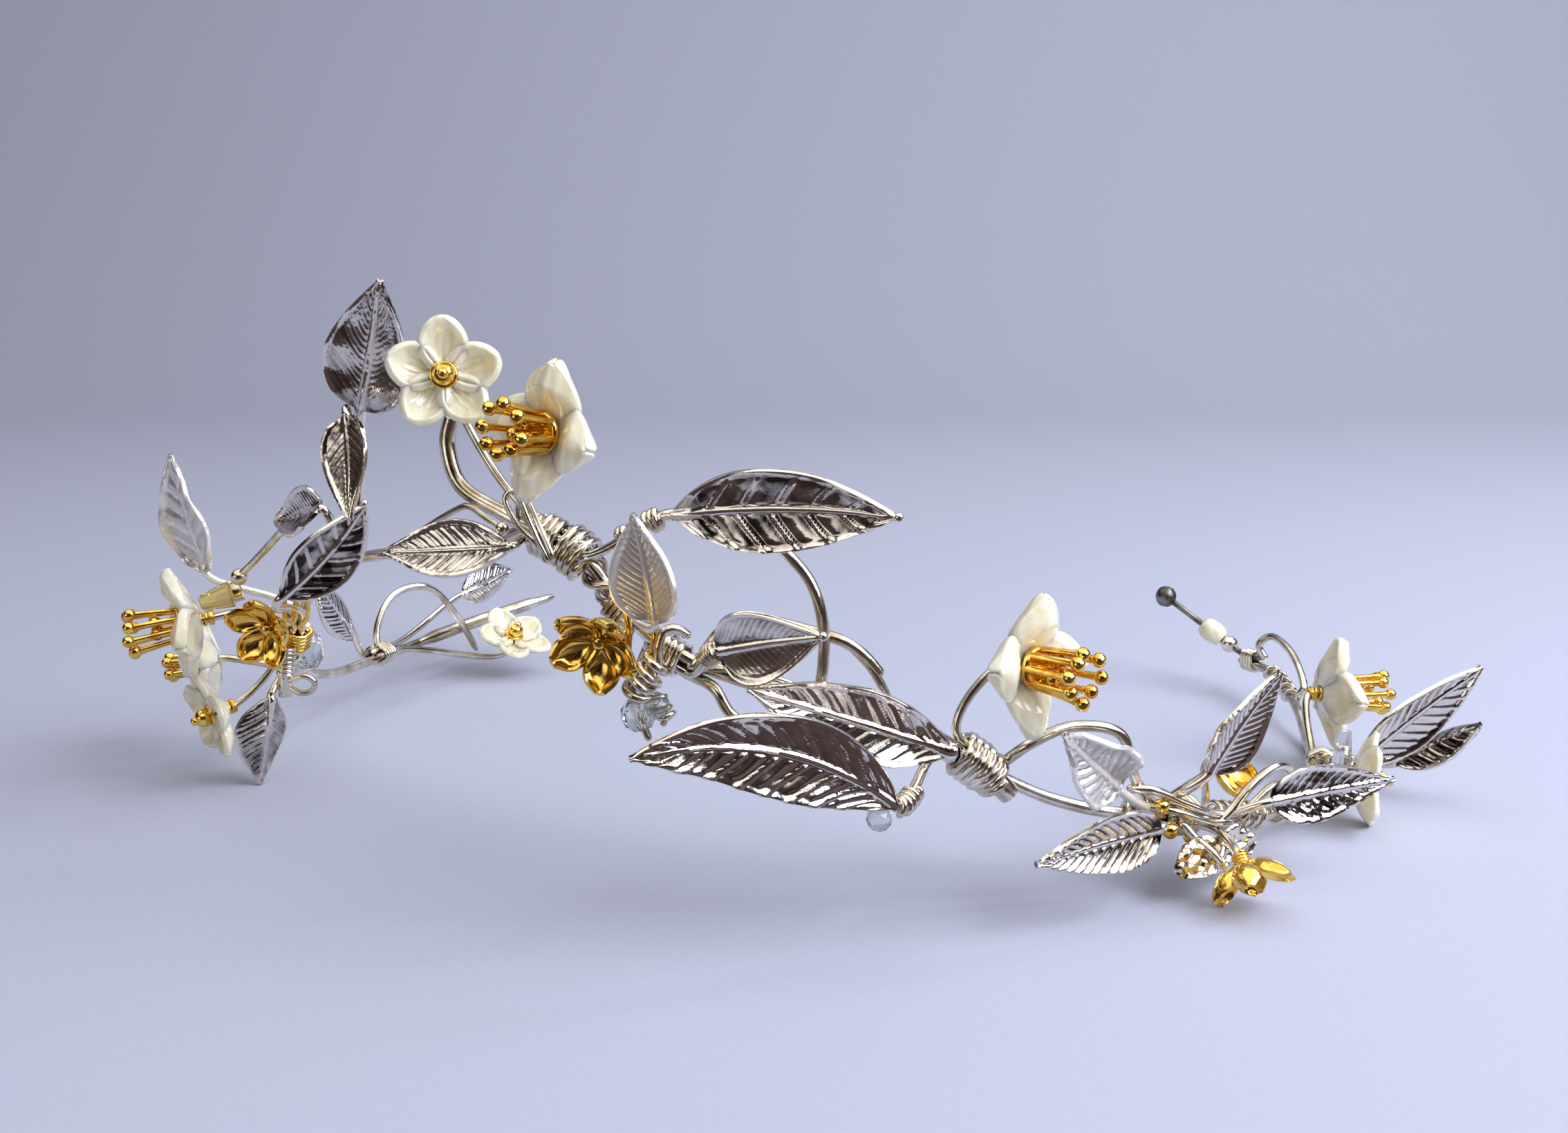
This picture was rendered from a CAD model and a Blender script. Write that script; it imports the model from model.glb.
import random
from math import atan2, cos, degrees, exp, floor, pi, radians, sin
import bpy
from mathutils import Matrix, Vector, noise


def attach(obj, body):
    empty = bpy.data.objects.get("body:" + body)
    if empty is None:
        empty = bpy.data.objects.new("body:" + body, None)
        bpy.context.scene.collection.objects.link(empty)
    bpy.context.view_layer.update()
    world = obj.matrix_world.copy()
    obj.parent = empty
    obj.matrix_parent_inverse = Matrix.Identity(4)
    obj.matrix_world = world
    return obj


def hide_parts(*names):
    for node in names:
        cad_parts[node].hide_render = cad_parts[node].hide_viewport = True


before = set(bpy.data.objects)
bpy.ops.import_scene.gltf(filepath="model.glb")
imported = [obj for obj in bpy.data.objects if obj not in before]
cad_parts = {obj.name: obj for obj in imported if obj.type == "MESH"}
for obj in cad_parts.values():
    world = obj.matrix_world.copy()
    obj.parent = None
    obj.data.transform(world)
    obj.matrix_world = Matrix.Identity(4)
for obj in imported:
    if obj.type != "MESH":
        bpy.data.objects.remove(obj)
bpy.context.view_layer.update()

# Camera. The photograph looks across a table at the circlet from about 20 cm in front of it and a
# little above, with a fairly wide lens.
CAMERA_AT, CAMERA_TILT = (-0.008, -0.277, 0.090), 78
SENSOR_MM, LENS_MM, NEAREST = 36, 36.508, 0.005
bpy.ops.object.camera_add(location=CAMERA_AT, rotation=(radians(CAMERA_TILT), 0, 0))
camera = bpy.context.object
camera.data.sensor_width = SENSOR_MM
camera.data.lens = LENS_MM
camera.data.clip_start = NEAREST
bpy.context.scene.camera = camera


# Band wires. The circlet is a C of round copper wire, a thick piece over the brow and thinner ones
# round the sides. They are drawn, bent by hand and silver-plated, and lie side by side where fine
# wire binds them. Places are [angle from the brow, share of the peak's height, stand-off in mm].
MM = 0.001
BAND_HALF_W, BAND_HALF_D, PEAK_H = 88, 75, 50
BROW_WIRE_D, SIDE_WIRE_D, TENDRIL_D, STEM_D = 2.0, 1.6, 1.2, 1.0
BINDING_WIRE_D, CLEARANCE, STEM_TAIL, LEAD = 0.8, 0.2, 0.8, 0.8
LEFT, SPRIG, PEAK, MIDDLE, DIP, BROW, RIGHT, SIDE, BACK, END = range(10)
# Binding: (wire: 0 brow, 1 left, 2 right; place along its points; turns; name)
BINDINGS = [
    (1, 7.5, 5, "left"), (1, 6, 4, "sprig"), (0, 4, 5, "peak"), (0, 6, 4, "middle"),
    (0, 7, 5, "dip"), (0, 10.8, 6, "front"), (2, 5.9, 5, "right"), (2, 9, 4, "side"),
    (1, 10, 4, "back"), (2, 12.6, 4, "end"),
]
BROW_ROUTE = [
    (-37, 1.30, 0.5), (-37.5, 1.22, 1), (-36, 1.11, 1), (-31.5, 1.04, 0), (-26.5, 0.985, 0),
    (-23, 0.93, 0), (-19.5, 0.81, 0), (-15, 0.7, 0), (-7.5, 0.62, 0), (2, 0.54, 0),
    (7.5, 0.48, 0), (12, 0.385, 0), (14.2, 0.32, 0),
]
LEFT_ROUTE = [
    (-36, 0.93, -1.5), (-47, 0.88, -1), (-61, 0.78, 0), (-71, 0.6, 3), (-77, 0.38, 5),
    (-88, 0.24, 2), (-104, 0.19, 0), (-123, 0.2, 0), (-139, 0.25, 0),
]
RIGHT_ROUTE = [
    (19, 0.27, -1), (25, 0.22, 1), (33, 0.18, 2), (46, 0.1, 2), (57, 0.07, 1), (67, 0.08, -1),
    (80, 0.016, -3), (92, 0.08, -2), (103, 0.13, 0), (111, 0.13, 0),
]
UPPER_ROUTE = [(16, 0.45, 2), (20, 0.49, 2), (24.5, 0.46, 3), (26, 0.33, 3.5)]
SWIRL_ROUTE = [
    (-11, 0.62, 2.5), (-9.5, 0.555, 3.2), (-7.2, 0.515, 3.4), (-4.7, 0.528, 3.4),
    (-2.7, 0.59, 3.6), (-1.9, 0.68, 3.6), (-1.9, 0.808, 3.4), (-3, 0.916, 3), (-5.3, 1, 2.5),
]
ARC_ROUTE = [(-9, 0.8, 1.2), (-2, 0.77, 2), (1, 0.73, 2.5), (3, 0.66, 2.2)]
BEAD_ROUTE = [(-18, 0.62, 3), (-17.5, 0.55, 3.5), (-16.5, 0.47, 3.5)]


def outward(angle):
    """The direction out of the band at an angle in degrees, seen from above."""
    a = radians(angle)
    return Vector((sin(a) * BAND_HALF_D, -cos(a) * BAND_HALF_W, 0)).normalized()


def on_band(place):
    """The point in mm at (angle, share of the peak's height, stand-off)."""
    angle, share, stand = place
    a = radians(angle)
    middle = Vector((BAND_HALF_W * sin(a), -BAND_HALF_D * cos(a), share * PEAK_H))
    return middle + stand * outward(angle)


def on_ring(*places):
    return [on_band(place) for place in places]


def on_curve(points, t):
    """A place on a smooth curve through points. Whole numbers are the points themselves."""
    last = len(points) - 1
    i = max(0, min(floor(t), last - 1))
    f = t - i
    a, b, c, d = points[max(i - 1, 0)], points[i], points[i + 1], points[min(i + 2, last)]
    return 0.5 * (2 * b + (c - a) * f + (2 * a - 5 * b + 4 * c - d) * f * f
                  + (3 * b - a - 3 * c + d) * f ** 3)


def smoothed(points, steps):
    """Points along the curve, with that many steps from one given point to the next."""
    return [on_curve(points, i / steps) for i in range((len(points) - 1) * steps + 1)]


def square_to(v, axis):
    """The part of a direction that is at right angles to an axis."""
    return (v - v.dot(axis) * axis).normalized()


def wire_frame(points, t):
    """A wire's middle, and the directions along it, outward and up, at one of its places."""
    here = on_curve(points, t)
    run = (on_curve(points, t + 0.05) - on_curve(points, t - 0.05)).normalized()
    out = square_to(outward(degrees(atan2(here.x / BAND_HALF_W, -here.y / BAND_HALF_D))), run)
    up = run.cross(out)
    return here, run, out, up if up.z > 0 else -up


def slot_run(binding, slot, way, wire_d, stem_d):
    """A straight run of three points beside a bound wire, at a slot's angle round it."""
    here, run, out, up = BOUND_AT[binding]
    reach = BINDINGS[binding][2] * BINDING_WIRE_D / 2 + STEM_TAIL
    apart = wire_d / 2 + CLEARANCE + stem_d / 2
    aside = apart * (cos(radians(slot)) * up + sin(radians(slot)) * out)
    return [here + way * x * reach * run + aside for x in (-1, 0, 1)]


def bound_start(binding, slot, way, wire_d, own_d):
    """The first points of a wire that starts in a binding's slot. The binding is told of it."""
    ends = slot_run(binding, slot, way, wire_d, own_d)
    bundle[binding].append((slot, own_d))
    return ends + [ends[2] + way * LEAD * BOUND_AT[binding][1]]


def pick(piece):
    """Selects one piece and nothing else."""
    bpy.ops.object.select_all(action="DESELECT")
    piece.select_set(True)
    bpy.context.view_layer.objects.active = piece


def put(name, data):
    """A new object with a mesh or a curve in it, picked."""
    piece = bpy.data.objects.new(name, data)
    bpy.context.collection.objects.link(piece)
    pick(piece)
    return piece


def bend_wire(name, points, diameter, sizes=None, sides=16):
    """Round wire bent along points in mm. Sizes swell or thin it from point to point."""
    curve = bpy.data.curves.new(name, "CURVE")
    curve.dimensions = "3D"
    curve.bevel_depth = diameter / 2 * MM
    curve.bevel_resolution = sides // 4 - 1
    curve.use_fill_caps = True
    spline = curve.splines.new("POLY")
    spline.points.add(len(points) - 1)
    for i, point in enumerate(points):
        spline.points[i].co = (*(point * MM), 1)
        spline.points[i].radius = sizes[i] if sizes else 1
    piece = put(name, curve)
    bpy.ops.object.convert(target="MESH")
    bpy.ops.object.shade_smooth_by_angle(angle=radians(50))
    return piece


def linear(code):
    """An sRGB hex colour as linear numbers."""
    parts = [int(code[i:i + 2], 16) / 255 for i in (1, 3, 5)]
    return tuple(c / 12.92 if c <= 0.04045 else ((c + 0.055) / 1.055) ** 2.4 for c in parts) + (1,)


def set_inputs(tree, node, inputs):
    """Sets a node's inputs, each to a number, an sRGB hex colour or another node's output."""
    for key, value in inputs.items():
        if isinstance(value, bpy.types.NodeSocket):
            tree.links.new(value, node.inputs[key])
        else:
            node.inputs[key].default_value = linear(value) if isinstance(value, str) else value


def add_node(tree, kind, output, inputs, stops=(), **settings):
    """Adds a node with its settings, colour stops and links. One of its outputs comes back."""
    node = tree.nodes.new("ShaderNode" + kind)
    for key, value in settings.items():
        setattr(node, key, value)
    for i, (place, code) in enumerate(stops):
        elements = node.color_ramp.elements
        stop = elements[i] if i < 2 else elements.new(place)
        stop.position, stop.color = place, linear(code)
    set_inputs(tree, node, inputs)
    return node.outputs[output]


# The part's colour slot that each finish belongs to
slot_of = {}


def new_finish(name, slot=None):
    """An empty material, its tree, its shader and the place on the object that patterns read."""
    finish = bpy.data.materials.new(name)
    finish.use_nodes = True
    slot_of[finish.name] = slot
    tree = finish.node_tree
    where = add_node(tree, "TexCoord", "Object", {})
    return finish, tree, tree.nodes["Principled BSDF"], where


def plate(piece, finish):
    """Gives a piece one finish all over."""
    piece.data.materials.clear()
    piece.data.materials.append(finish)
    return piece


def fit(piece, slot, *nodes):
    """Gives a finished piece its body, its slot and the CAD nodes that it stands for."""
    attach(piece, "root")
    if nodes:
        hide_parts(*nodes)


def add(piece, finish, *nodes):
    """Plates a finished piece and fits it."""
    fit(plate(piece, finish), slot_of[finish.name], *nodes)


# Drawn silver-plated wire: bright, with a fine grain from the die and a faint brown bloom in
# places. A pattern's scale is in cells a metre, so a patch of bloom is about 4 mm across and the
# grain half a millimetre.
wire_silver, tree, shader, where = new_finish("drawn_silver_plated_wire", "silver_plate")
bloom = add_node(tree, "TexNoise", "Fac", {"Vector": where, "Scale": 260, "Detail": 3})
grain = add_node(tree, "TexNoise", "Fac", {"Vector": where, "Scale": 1900, "Detail": 2})
tint = add_node(tree, "ValToRGB", "Color", {"Fac": bloom}, ((0.34, "#b9ab93"), (0.62, "#f1ebde")))
dull = add_node(tree, "MapRange", "Result", {"Value": grain, "To Min": 0.1, "To Max": 0.24})
fine = {"Height": grain, "Strength": 0.15, "Distance": 0.00012}
set_inputs(tree, shader, {"Base Color": tint, "Roughness": dull, "Metallic": 1.0,
                          "Normal": add_node(tree, "Bump", "Normal", fine)})

# Wires and stems that each binding holds, as (slot, diameter), and where each binding is
bundle = {b: [] for b in range(len(BINDINGS))}
BOUND_AT = {}
brow = on_ring(*BROW_ROUTE)
for b in (PEAK, MIDDLE, DIP, BROW):
    BOUND_AT[b] = wire_frame(brow, BINDINGS[b][1])
left = bound_start(PEAK, 275, -1, BROW_WIRE_D, SIDE_WIRE_D) + on_ring(*LEFT_ROUTE)
right = bound_start(BROW, 270, 1, BROW_WIRE_D, SIDE_WIRE_D) + on_ring(*RIGHT_ROUTE)
for b in (LEFT, SPRIG, BACK):
    BOUND_AT[b] = wire_frame(left, BINDINGS[b][1])
for b in (RIGHT, SIDE, END):
    BOUND_AT[b] = wire_frame(right, BINDINGS[b][1])
swirl = bound_start(DIP, 184, 1, BROW_WIRE_D, TENDRIL_D) + on_ring(*SWIRL_ROUTE)
arc = bound_start(DIP, 62, 1, BROW_WIRE_D, TENDRIL_D) + on_ring(*ARC_ROUTE)
drop = bound_start(DIP, 233, -1, BROW_WIRE_D, STEM_D) + on_ring(*BEAD_ROUTE)
upper_end = bound_start(RIGHT, 309, -1, SIDE_WIRE_D, TENDRIL_D)
upper = (bound_start(BROW, 330, 1, BROW_WIRE_D, TENDRIL_D) + on_ring(*UPPER_ROUTE)
         + upper_end[::-1])


def round_ended(count):
    """Sizes that round off both ends of a wire of that many points."""
    return [0.55] + [1.0] * (count - 2) + [0.55]


# Wires look a little thicker than their solids, which keep clear of each other
WIRE_SEEN, TENDRIL_SEEN = 1.1, 1.3
for name, route, diameter, node in (
        ("brow_wire", brow, BROW_WIRE_D, "front_wire"),
        ("left_side_wire", left, SIDE_WIRE_D, "left_wire"),
        ("right_side_wire", right, SIDE_WIRE_D, "right_wire"),
        ("upper_right_wire", upper, TENDRIL_D, "upper_wire"),
        ("swirl_wire", swirl, TENDRIL_D, "swirl_tendril"),
        ("arc_wire", arc, TENDRIL_D, "arc_tendril"),
        ("drop_wire", drop, STEM_D, "bead_wire")):
    points = smoothed(route, 8)
    seen_d = diameter * (TENDRIL_SEEN if diameter == TENDRIL_D else WIRE_SEEN)
    add(bend_wire(name, points, seen_d, round_ended(len(points))), wire_silver, node)


# Leaves. Each is a blade of thin metal, stamped with a midrib, side veins and a thick rim, filed,
# silver-plated and soldered to the end of a wire stem that runs on under it and is bent to its
# binding. Worn ribs are bright, and the hollows between them keep a brown tarnish.
LEAF_T, LEAF_EDGE, TIP_BALL_R = 0.6, 0.17, 0.62
CELLS_ACROSS, CELLS_ALONG = 42, 92
# Form: a leaf is widest at the middle with 1, and nearer its base with less
LANCE, HEART = 0.85, 0.62
# name: (binding, slot, way, angle, share, stand-off, lean, tilt, roll, length, width, cup, curl,
#        sway, form)
LEAF_PLACE = {
    "left_tall": (LEFT, 10, -1, -77, 0.7, 18, 86, 9, -52, 20, 9.4, 0.35, 0.1, 0, HEART),
    "left_front": (LEFT, 204, -1, -57, 0.73, 11, 61, -30, -75, 20, 9.5, 0.2, 0.1, 0.25, LANCE),
    "left_low": (LEFT, 252, 1, -72, 0.3, 9, -86, 8, -60, 15, 9.4, 0.35, 0.1, 0, LANCE),
    "sprig_tall": (SPRIG, 0, -1, -48.5, 1.3, 3, 61, 4, -36, 21.6, 12.6, 0.15, 0.08, 0, HEART),
    "sprig_folded": (SPRIG, 60, -1, -46.7, 1.29, 7, -70, 10, 18, 15, 8, 0.25, 0.1, 0, HEART),
    "sprig_small": (SPRIG, 120, -1, -54, 1.0, 6, -163, -3, -20, 15, 8, 0.4, 0.1, 0, HEART),
    "peak_long": (PEAK, 155, -1, -29, 0.97, 4, -172, 0, -20, 20, 8, 0.3, 0.1, 0, LANCE),
    "centre_drop": (MIDDLE, 60, 1, -15.2, 0.81, 6, 96, 8, 10, 15, 9.5, 0.4, 0.1, 0, HEART),
    "front_top": (PEAK, 100, 1, -14.3, 1.08, 3, 4, 4, -7, 30.45, 11, 0.25, 0.12, -0.1, LANCE),
    "front_middle": (DIP, 135, 1, -10.4, 0.735, 5, 14, 8, -8, 15, 10.3, 0.25, 0.1, 0, HEART),
    "front_wide": (BROW, 75, -1, 9, 0.45, 3, 160, -1, -6, 29, 9.5, 0.3, 0.1, 0, LANCE),
    "front_long": (BROW, 160, -1, 3.7, 0.365, 11, 164, 8, 0, 35.38, 11, 0.3, 0.1, 0.45, LANCE),
    "right_bud": (RIGHT, 48, -1, 22.8, 0.34, 7, 138, 12, 0, 16.5, 9.5, 0.6, 0.2, 0, HEART),
    "right_up": (RIGHT, 0, -1, 32.2, 0.34, 7, 62, 10, 0, 17, 8, 0.3, 0.1, 0, HEART),
    "right_out": (RIGHT, 150, -1, 25.6, 0.24, 10.5, 184, 0, 0, 20, 8, 0.3, 0.1, 0, HEART),
    "right_low": (RIGHT, 96, 1, 38, 0.24, 10, 5, 16, 10, 19, 8, 0.14, 0.1, 0, HEART),
    "side_long": (SIDE, 60, -1, 62, 0.14, 5, 57, 36, 28, 24.65, 9.5, 0.3, 0.1, 0, LANCE),
    "side_dark": (SIDE, 0, 1, 68, 0.11, 10, 100, 50, -14, 15, 8, 0.3, 0.1, 0, LANCE),
    "back_near": (BACK, 60, -1, -98, 0.3, 1, 60, 10, 0, 15, 8, 0.2, 0.1, 0, LANCE),
    "back_far": (BACK, 0, 1, -124, 0.32, 2, 170, 0, 0, 15, 8, 0.2, 0.1, 0, LANCE),
}
# name: (veins a side, width of a vein as a share of its spacing, how far it runs forward, vein
#        height, midrib height, rim height, hammering, crumple, scalloped edge, tarnish, ball on
#        the tip)
LEAF_STAMP = {
    "left_tall": (5, 0.2, 0.25, 0.16, 0.3, 0.4, 0.07, 1.8, 0.01, 0.35, 0),
    "left_front": (5, 0.08, 0.24, 0.35, 0.6, 0.4, 0.01, 0.25, 0, 1.5, 1),
    "left_low": (6, 0.1, 0.28, 0.34, 0.35, 0.3, 0.01, 0.9, 0.01, 0.9, 0),
    "sprig_tall": (9, 0.12, 0.4, 0.38, 0.55, 0.25, 0.02, 0.6, 0, 0.7, 0),
    "sprig_folded": (8, 0.2, 0.32, 0.25, 0.4, 0.3, 0.03, 0.4, 0.01, 0.25, 0),
    "sprig_small": (6, 0.2, 0.3, 0.3, 0.3, 0.4, 0.06, 1.3, 0.08, 0.5, 0),
    "peak_long": (9, 0.18, 0.24, 0.24, 0.5, 0.3, 0.02, 0.4, 0.01, 0.45, 0),
    "centre_drop": (13, 0.2, 0.36, 0.28, 0.4, 0.3, 0.01, 0.8, 0, 0.55, 0),
    "front_top": (5, 0.07, 0.17, 0.42, 0.5, 0.2, 0.01, 0.7, 0.0, 0.9, 1),
    "front_middle": (15, 0.2, 0.32, 0.1, 0.4, 0.18, 0.01, 0.4, 0, 0.8, 1),
    "front_wide": (8, 0.1, 0.2, 0.22, 0.6, 0.2, 0.01, 0.8, 0.01, 0.4, 0),
    "front_long": (7, 0.09, 0.2, 0.5, 0.6, 0.16, 0.01, 0.6, 0.0, 0.35, 0),
    "right_bud": (10, 0.2, 0.28, 0.4, 0.5, 0.5, 0.1, 2.8, 0.08, 0.6, 0),
    "right_up": (13, 0.22, 0.3, 0.26, 0.5, 0.3, 0.02, 0.3, 0.01, 0.5, 0),
    "right_out": (12, 0.22, 0.26, 0.42, 0.4, 0.25, 0.03, 0.5, 0.02, 1.4, 0),
    "right_low": (11, 0.16, 0.26, 0.2, 0.4, 0.25, 0.14, 0.5, 0.01, 1.0, 0),
    "side_long": (10, 0.16, 0.24, 0.3, 0.5, 0.3, 0.02, 0.4, 0.01, 0.2, 0),
    "side_dark": (6, 0.14, 0.24, 0.25, 0.4, 0.2, 0.06, 0.4, 0.01, 1.6, 0),
    "back_near": (6, 0.14, 0.26, 0.25, 0.4, 0.3, 0.03, 0.4, 0.01, 0.3, 0),
    "back_far": (6, 0.14, 0.26, 0.25, 0.4, 0.3, 0.03, 0.4, 0.01, 0.3, 0),
}
STEM_SEEN_D = 1.25
BASE_REACH, SLOT_REACH = 0.22, 0.35
# How thick a stem gets where it meets its blade, and how plump the blade is between its veins
STEM_SWELL = 1.05
LEAF_STEM_SWELL = {"front_wide": 2.4, "front_long": 1.25, "front_top": 1.3, "front_middle": 1.4,
                   "sprig_tall": 1.5, "right_up": 1.4}
LEAF_PUFF, MANY_VEINS = 0.28, 10
WIRE_D = (BROW_WIRE_D, SIDE_WIRE_D, SIDE_WIRE_D)
UP = Vector((0, 0, 1))
stem_route = {}


def along(angle):
    """The direction along the band, towards the right as seen from the front."""
    o = outward(angle)
    return Vector((-o.y, o.x, 0))


def join(pieces, name):
    """Joins pieces into the first of them and names it."""
    pick(pieces[0])
    for piece in pieces:
        piece.select_set(True)
    if len(pieces) > 1:
        bpy.ops.object.join()
    pieces[0].name = name
    return pieces[0]


def modify(piece, name, kind, **settings):
    """Gives a piece a modifier and applies it."""
    pick(piece)
    modifier = piece.modifiers.new(name, kind)
    for key, value in settings.items():
        setattr(modifier, key, value)
    bpy.ops.object.modifier_apply(modifier=name)


def stem_path(binding, slot, way, base, direction):
    """Points of a stem in mm, from a base down to the far end of its slot."""
    bundle[binding].append((slot, STEM_SEEN_D))
    ends = slot_run(binding, slot, way, WIRE_D[BINDINGS[binding][0]], STEM_D)
    far = (ends[2] - base).length
    p1 = base - BASE_REACH * far * direction
    p2 = ends[2] + way * SLOT_REACH * far * BOUND_AT[binding][1]
    bend = []
    for t in (i / 16 for i in range(1, 17)):
        bend.append((1 - t) ** 3 * base + 3 * (1 - t) ** 2 * t * p1
                    + 3 * (1 - t) * t * t * p2 + t ** 3 * ends[2])
    return bend + [ends[1], ends[0]]


def ease(a, b, x):
    """Goes smoothly from 0 to 1 while x goes from a to b."""
    x = max(0.0, min(1.0, (x - a) / (b - a)))
    return x * x * (3 - 2 * x)


def stamp_leaf(name, place, stamp):
    """A leaf on its stem. Across it q goes from -1 to 1, and s from its base, 0, to its tip, 1."""
    binding, slot, way, angle, share, stand, lean, tilt, roll = place[:9]
    length, width, cup, curl, sway, form = place[9:]
    veins, vein_w, forward, vein_h, rib_h, rim_h, hammer, crumple, scallop, tarnish, tipped = stamp
    lean, tilt, roll = radians(lean), radians(tilt), radians(roll)
    u = cos(tilt) * (cos(lean) * along(angle) + sin(lean) * UP) + sin(tilt) * outward(angle)
    flat = square_to(outward(angle), u)
    face = cos(roll) * flat + sin(roll) * flat.cross(u)
    across = face.cross(u)
    base = on_band((angle, share, stand))
    seed = Vector((sum(map(ord, name)) % 97, 3.1, 7.7))

    def spine(s):
        lift, shift = curl * (s * s - 0.2 * s), sway * (s * s - s)
        return base + length * (s * u + lift * face + shift * across)

    bpy.ops.mesh.primitive_grid_add(x_subdivisions=CELLS_ACROSS, y_subdivisions=CELLS_ALONG,
                                    size=2)
    blade = bpy.context.object
    hollow = blade.data.attributes.new("hollow", "FLOAT", "POINT")
    for vertex in blade.data.vertices:
        q, s = vertex.co.x, (vertex.co.y + 1) / 2
        aq = abs(q)
        run = (spine(s + 0.01) - spine(s - 0.01)).normalized()
        side = square_to(across, run)
        out = run.cross(side)
        if out.dot(face) < 0:
            out = -out
        half = max(0.28 + 0.3 * (1 - s), width / 2 * max(0.0, sin(pi * s ** form)) ** 0.85)
        beat = (s - forward * aq ** 1.25 * (1 - 0.35 * s)) * (veins + 1) / 0.95
        beat += 0.22 if q < 0 else 0
        off = abs(beat - round(beat))
        opened = ease(0.04, 0.16, s) * (1 - ease(0.9, 0.99, s)) * ease(0.06, 0.2, aq)
        fade = 0.3 if vein_h > 0.4 and q * cos(lean) < 0 else 1
        vein = exp(-(off / vein_w) ** 2) * opened * (1 - fade * ease(0.74, 0.95, aq))
        rib = exp(-(q * half / (0.52 - 0.28 * s)) ** 2) * (1 - ease(0.93, 1, s))
        rim = ease(1 - min(0.5, 0.9 / half), 1 - min(0.25, 0.3 / half), aq) * ease(0.03, 0.1, s)
        half *= 1 + scallop * (vein - 0.4) * ease(0.5, 1, aq)
        here = spine(s) + q * half * side
        wave = crumple * noise.noise(here / 5.5 + seed) * (0.35 + 0.65 * aq)
        puff = (LEAF_PUFF if veins < MANY_VEINS else 0.4 * LEAF_PUFF) * sin(pi * off) ** 2 * opened
        puff *= 1 - ease(0.7, 0.98, aq)
        dent = hammer * (noise.noise(here / 1.3 + seed) + 0.5 * noise.noise(here / 0.6 + seed))
        height = (cup * half * aq ** 1.5 + vein_h * vein + rib_h * rib
                  + rim_h * rim + wave + puff + dent)
        here += height * out
        hollow.data[vertex.index].value = tarnish * max(0.0, 1 - vein - rib - rim)
        vertex.co = here * MM
    modify(blade, "metal", "SOLIDIFY", thickness=LEAF_T * MM, offset=0)
    modify(blade, "filed edge", "BEVEL", width=LEAF_EDGE * MM, segments=2,
           angle_limit=radians(62))
    bpy.ops.object.shade_smooth()
    under = [spine(s) - 0.35 * face for s in (0.34, 0.26, 0.18, 0.1, 0.04)]
    stem_route[name] = [base] + stem_path(binding, slot, way, base, u)
    points = smoothed(under + stem_route[name], 2)
    swell = LEAF_STEM_SWELL.get(name, STEM_SWELL)
    sizes = [min(1, 0.35 + 0.09 * i) * (1 + (swell - 1) * ease(0, 8, i) * (1 - ease(20, 34, i)))
             for i in range(len(points))]
    parts = [blade, bend_wire("stem", points, STEM_SEEN_D, sizes, 12)]
    if tipped:
        bpy.ops.mesh.primitive_uv_sphere_add(segments=20, ring_count=12, radius=TIP_BALL_R * MM,
                                             location=(spine(1.0) + 0.25 * face) * MM)
        bpy.ops.object.transform_apply(location=True)
        bpy.ops.object.shade_smooth()
        parts.append(bpy.context.object)
    return join(parts, name + "_leaf")


# Stamped silver plate, polished on the ribs, with brown tarnish left in the hollows
leaf_silver, tree, shader, where = new_finish("stamped_silver_plate", "silver_plate")
kept = add_node(tree, "Attribute", "Fac", {}, attribute_name="hollow")
patch = add_node(tree, "TexNoise", "Fac", {"Vector": where, "Scale": 330, "Detail": 4})
grain = add_node(tree, "TexNoise", "Fac", {"Vector": where, "Scale": 1500, "Detail": 3})
some = add_node(tree, "MapRange", "Result", {
    "Value": patch, "From Min": 0.35, "From Max": 0.65, "To Min": 0.2, "To Max": 1.0})
stain = add_node(tree, "Math", "Value", {0: kept, 1: some}, operation="MULTIPLY")
bright = add_node(tree, "Mix", 2, {"Factor": grain, 6: "#f3efe8", 7: "#dfd5cb"}, data_type="RGBA")
colour = add_node(tree, "Mix", 2, {"Factor": stain, 6: bright, 7: "#38302d"}, data_type="RGBA")
dull = add_node(tree, "MapRange", "Result", {"Value": grain, "To Min": 0.06, "To Max": 0.17})
fine = {"Height": grain, "Strength": 0.2, "Distance": 0.00012}
set_inputs(tree, shader, {"Base Color": colour, "Roughness": dull, "Metallic": 1.0,
                          "Normal": add_node(tree, "Bump", "Normal", fine)})

# Satin silver: plate beaten and pickled to a matt white skin, finely brushed, so it is bright from
# every side but in its hollows
satin, tree, shader, where = new_finish("beaten_satin_silver", "silver_plate")
kept = add_node(tree, "Attribute", "Fac", {}, attribute_name="hollow")
beaten = add_node(tree, "TexNoise", "Fac", {"Vector": where, "Scale": 700, "Detail": 4})
brushed = add_node(tree, "TexNoise", "Fac", {"Vector": where, "Scale": 2600, "Detail": 2})
white = add_node(tree, "Mix", 2, {"Factor": beaten, 6: "#fffdf8", 7: "#f3efe8"}, data_type="RGBA")
colour = add_node(tree, "Mix", 2, {"Factor": kept, 6: white, 7: "#8b8985"}, data_type="RGBA")
dull = add_node(tree, "MapRange", "Result", {
    "Value": beaten, "From Min": 0.3, "From Max": 0.7, "To Min": 0.22, "To Max": 0.4})
fine = {"Height": brushed, "Strength": 0.25, "Distance": 0.00015}
set_inputs(tree, shader, {"Base Color": colour, "Roughness": dull, "Metallic": 0.7,
                          "Normal": add_node(tree, "Bump", "Normal", fine)})

SATIN_LEAVES = ("left_tall", "centre_drop", "right_bud")
for name, place in LEAF_PLACE.items():
    add(stamp_leaf(name, place, LEAF_STAMP[name]),
        satin if name in SATIN_LEAVES else leaf_silver, "leaf_" + name)


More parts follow.
